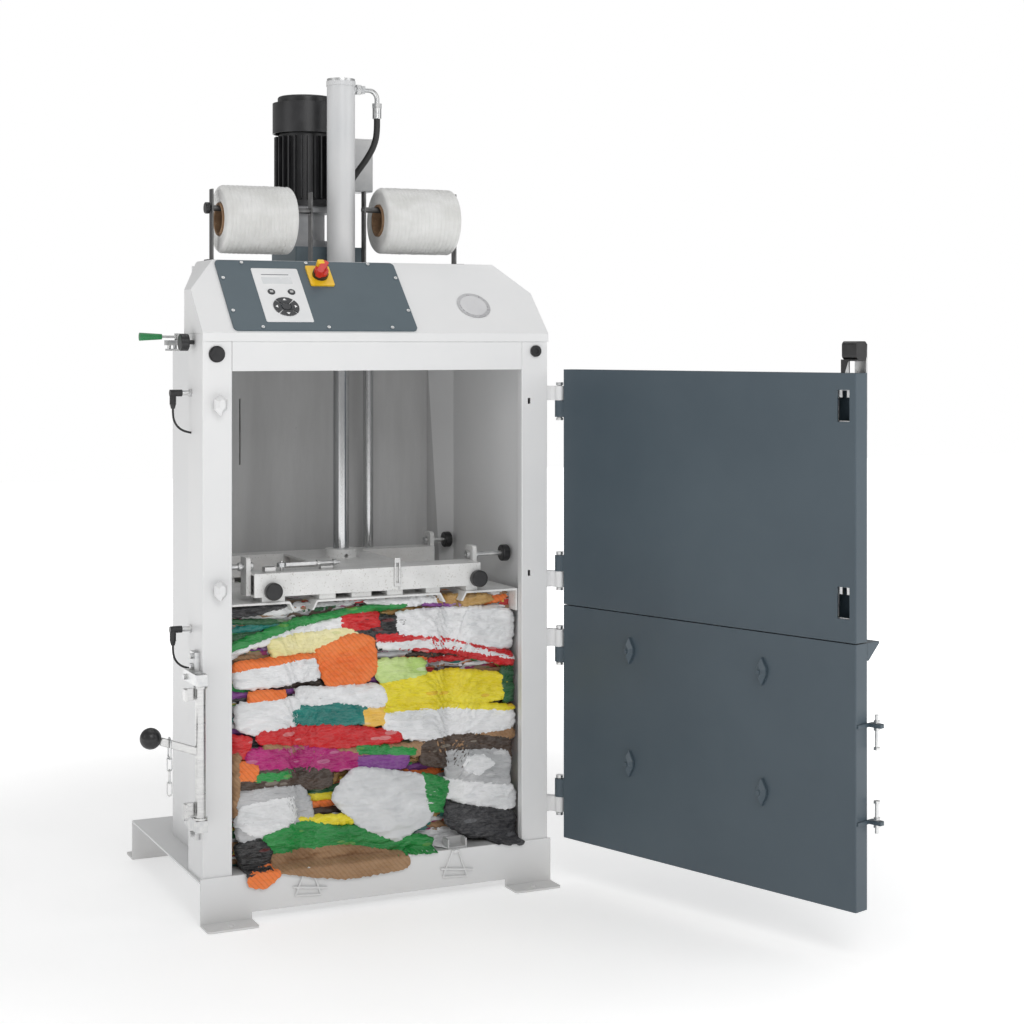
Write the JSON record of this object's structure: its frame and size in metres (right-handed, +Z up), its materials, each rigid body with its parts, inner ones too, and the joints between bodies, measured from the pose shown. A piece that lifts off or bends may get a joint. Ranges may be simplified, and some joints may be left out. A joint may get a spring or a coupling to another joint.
{
  "type": "recycling baler",
  "caption": "Upright recycling baler: press chamber with two side-hinged doors, hydraulic ram with platen on a finished bale, control panel, power pack and strap rolls on top.",
  "frame": {"origin": "on the floor at the centre of the four floor anchor holes", "axes": "+Z up, the doors and control panel face -Y, +X to the right seen from the front, towards the door hinges"},
  "size_m": [1.4088, 1.5708, 1.982],
  "materials": {
    "grey_coat": "satin light grey powder coat",
    "door_coat": "satin dark blue-grey powder coat",
    "panel_coat": "satin dark blue-grey powder coat",
    "black_coat": "satin black",
    "zinc": "zinc-plated, satin",
    "steel": "bare turned steel",
    "chrome": "hard chrome",
    "black_plastic": "satin",
    "foil": "satin foil",
    "key_plastic": "matt",
    "switch_yellow": "gloss",
    "switch_red": "gloss",
    "green_plastic": "satin",
    "hose_rubber": "matt",
    "cable_rubber": "matt",
    "strap_white": "woven polyester strap",
    "bale_mix": "crumpled film, foil and board",
    "white_coat": "satin white",
    "cast_grey": "painted casting"
  },
  "bodies": {
    "root": {"base_frame": "grey_coat", "left_post": "grey_coat", "right_post": "grey_coat", "left_side_wall": "grey_coat", "right_side_wall": "grey_coat", "back_wall": "grey_coat", "chamber_floor": "grey_coat", "crown_plate": "grey_coat", "header_fascia": "grey_coat", "hood": "grey_coat", "control_panel": "panel_coat", "keypad_foil": "foil", "panel_screws": "zinc", "switch_base": "switch_yellow", "cylinder": "grey_coat", "hose_fitting": "zinc", "hydraulic_hose": "hose_rubber", "oil_tank": "panel_coat", "bell_housing": "cast_grey", "motor": "black_coat", "fan_cover": "black_coat", "roll_holders": "black_coat", "hinge_arms": "grey_coat", "post_catches": "grey_coat", "lock_brackets": "zinc", "door_switches": "zinc", "switch_plugs": "black_plastic", "sensor_cable_upper": "cable_rubber", "sensor_cable_lower": "cable_rubber", "clamp_base": "zinc", "frame_bolts": "black_coat", "bale": "bale_mix", "strap_hooks": "white_coat"},
    "menu_key": {"key_menu": "key_plastic"},
    "enter_key": {"key_enter": "key_plastic"},
    "arrow_pad": {"arrow_keys": "key_plastic"},
    "stop_key": {"key_stop": "key_plastic"},
    "main_switch": {"switch_knob": "switch_red"},
    "platen": {"platen_trays": "grey_coat", "platen_beams": "grey_coat", "platen_fittings": "zinc", "guide_pads": "black_plastic", "piston_rod": "chrome", "guide_rod": "chrome"},
    "strap_lever": {"strap_lever": "zinc"},
    "upper_door": {"upper_door": "door_coat"},
    "upper_latch": {"upper_latch": "zinc"},
    "lower_door": {"lower_door": "door_coat", "lock_bolts": "zinc", "retaining_claws": "door_coat"},
    "lock_shaft": {"lock_shaft": "steel", "lock_knob": "black_plastic"},
    "snap_hook": {"snap_hook": "zinc"},
    "chain_1": {"chain_link_1": "zinc"},
    "chain_2": {"chain_link_2": "zinc"},
    "chain_3": {"chain_link_3": "zinc"},
    "left_roll": {"strap_roll_left": "strap_white"},
    "right_roll": {"strap_roll_right": "strap_white"},
    "clamp_handle": {"clamp_handle": "green_plastic"},
    "adjusting_knob": {"adjusting_knob": "black_plastic"}
  },
  "joints": [
    {"name": "menu_key_press", "type": "slide", "parent": "root", "child": "menu_key", "axis": [0, 0.7071, -0.7071], "range_m": [0, 0.0008], "stiffness_N_per_m": 800},
    {"name": "enter_key_press", "type": "slide", "parent": "root", "child": "enter_key", "axis": [0, 0.7071, -0.7071], "range_m": [0, 0.0008], "stiffness_N_per_m": 800},
    {"name": "arrow_pad_press", "type": "slide", "parent": "root", "child": "arrow_pad", "axis": [0, 0.7071, -0.7071], "range_m": [0, 0.0008], "stiffness_N_per_m": 800},
    {"name": "stop_key_press", "type": "slide", "parent": "root", "child": "stop_key", "axis": [0, 0.7071, -0.7071], "range_m": [0, 0.0008], "stiffness_N_per_m": 800},
    {"name": "main_switch_turn", "type": "hinge", "parent": "root", "child": "main_switch", "pos_m": [-0.111, -0.20101, 1.49408], "axis": [0, -0.7071, 0.7071], "range_deg": [0, 90]},
    {"name": "ram_slide", "type": "slide", "parent": "root", "child": "platen", "axis": [0, 0, 1], "range_m": [0, 0.4]},
    {"name": "strap_lever_swing", "type": "hinge", "parent": "platen", "child": "strap_lever", "pos_m": [-0.23, -0.2613, 0.805], "axis": [0, 0, 1], "range_deg": [0, 40]},
    {"name": "upper_door_hinge", "type": "hinge", "parent": "root", "child": "upper_door", "pos_m": [0.464, -0.3263, 0.97], "axis": [0, 0, 1], "range_deg": [-108.5, 60]},
    {"name": "upper_latch_slide", "type": "slide", "parent": "upper_door", "child": "upper_latch", "axis": [0, 0, 1], "range_m": [-0.024, 0]},
    {"name": "lower_door_hinge", "type": "hinge", "parent": "root", "child": "lower_door", "pos_m": [0.464, -0.3263, 0.4], "axis": [0, 0, 1], "range_deg": [-108.5, 60]},
    {"name": "lock_shaft_turn", "type": "hinge", "parent": "root", "child": "lock_shaft", "pos_m": [-0.4485, -0.3463, 0.4], "axis": [0, 0, 1], "range_deg": [0, 90]},
    {"name": "snap_hook_swing", "type": "hinge", "parent": "lock_shaft", "child": "snap_hook", "pos_m": [-0.52, -0.34751, 0.43684], "axis": [0, 1, 0], "range_deg": [-8, 30]},
    {"name": "chain_1_swing", "type": "hinge", "parent": "snap_hook", "child": "chain_1", "pos_m": [-0.52, -0.34751, 0.39324], "axis": [0, 1, 0], "range_deg": [-5, 30]},
    {"name": "chain_2_swing", "type": "hinge", "parent": "chain_1", "child": "chain_2", "pos_m": [-0.52, -0.34751, 0.36614], "axis": [1, 0, 0], "range_deg": [-12, 12]},
    {"name": "chain_3_swing", "type": "hinge", "parent": "chain_2", "child": "chain_3", "pos_m": [-0.52, -0.34751, 0.33864], "axis": [0, 1, 0], "range_deg": [-5, 30]},
    {"name": "left_roll_spin", "type": "hinge", "parent": "root", "child": "left_roll", "pos_m": [-0.232, -0.0563, 1.623], "axis": [1, 0, 0], "continuous": true},
    {"name": "right_roll_spin", "type": "hinge", "parent": "root", "child": "right_roll", "pos_m": [0.187, -0.0563, 1.63], "axis": [1, 0, 0], "continuous": true},
    {"name": "clamp_lift", "type": "hinge", "parent": "root", "child": "clamp_handle", "pos_m": [-0.452, -0.1613, 1.338], "axis": [0, 1, 0], "range_deg": [0, 80]},
    {"name": "adjusting_knob_turn", "type": "hinge", "parent": "root", "child": "adjusting_knob", "pos_m": [-0.455, -0.2443, 1.325], "axis": [1, 0, 0], "continuous": true}
  ]
}
